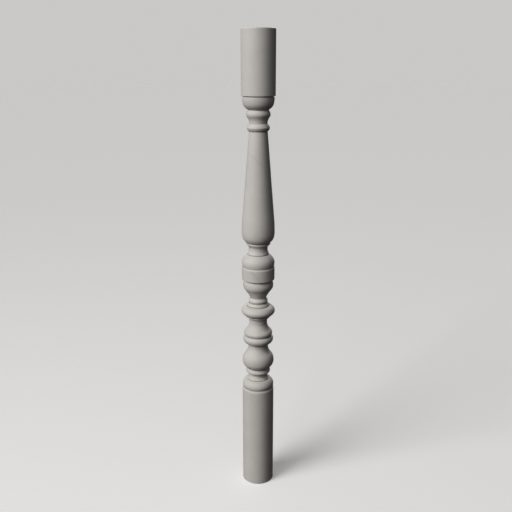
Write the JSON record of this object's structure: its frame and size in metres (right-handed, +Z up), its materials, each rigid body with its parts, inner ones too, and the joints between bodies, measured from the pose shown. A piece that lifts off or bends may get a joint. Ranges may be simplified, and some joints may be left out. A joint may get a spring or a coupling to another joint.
{
  "type": "turned marble baluster",
  "caption": "Slender round turned baluster with plain drum ends, a tapered vase shaft and stacked rings, hollows and bulbs; stands on its flat foot.",
  "frame": {"origin": "centre of the flat foot, on the turned axis", "axes": "+Z up along the turned axis, from the foot to the top bed; +X and +Y are free, as the part is round"},
  "size_m": [0.066, 0.066, 0.9],
  "materials": {
    "marble": "honed, warm light grey, satin"
  },
  "bodies": {
    "root": {"baluster": "marble"}
  },
  "joints": []
}
